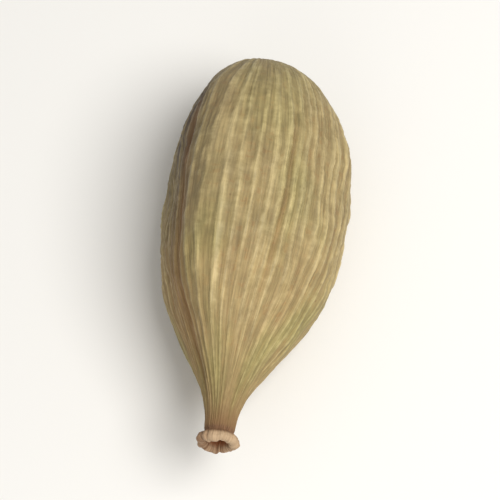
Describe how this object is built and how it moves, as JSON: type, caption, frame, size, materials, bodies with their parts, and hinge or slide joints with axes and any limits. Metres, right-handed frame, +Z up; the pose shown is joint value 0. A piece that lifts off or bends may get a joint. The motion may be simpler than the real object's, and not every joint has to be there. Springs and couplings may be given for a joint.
{
  "type": "green cardamom pod",
  "caption": "Whole dried green cardamom pod lying on one side: a ribbed three-sided husk with a stalk scar at one end and a hollow beak at the other.",
  "frame": {"origin": "on the surface that the pod lies on, under the middle of its bounding box", "axes": "+Z up, +Y along the pod towards the stalk scar, so the beak points to -Y"},
  "size_m": [0.0086, 0.0192, 0.008],
  "materials": {
    "husk": "dry fibrous plant husk, olive straw, satin"
  },
  "bodies": {
    "root": {"pod": "husk"}
  },
  "joints": []
}
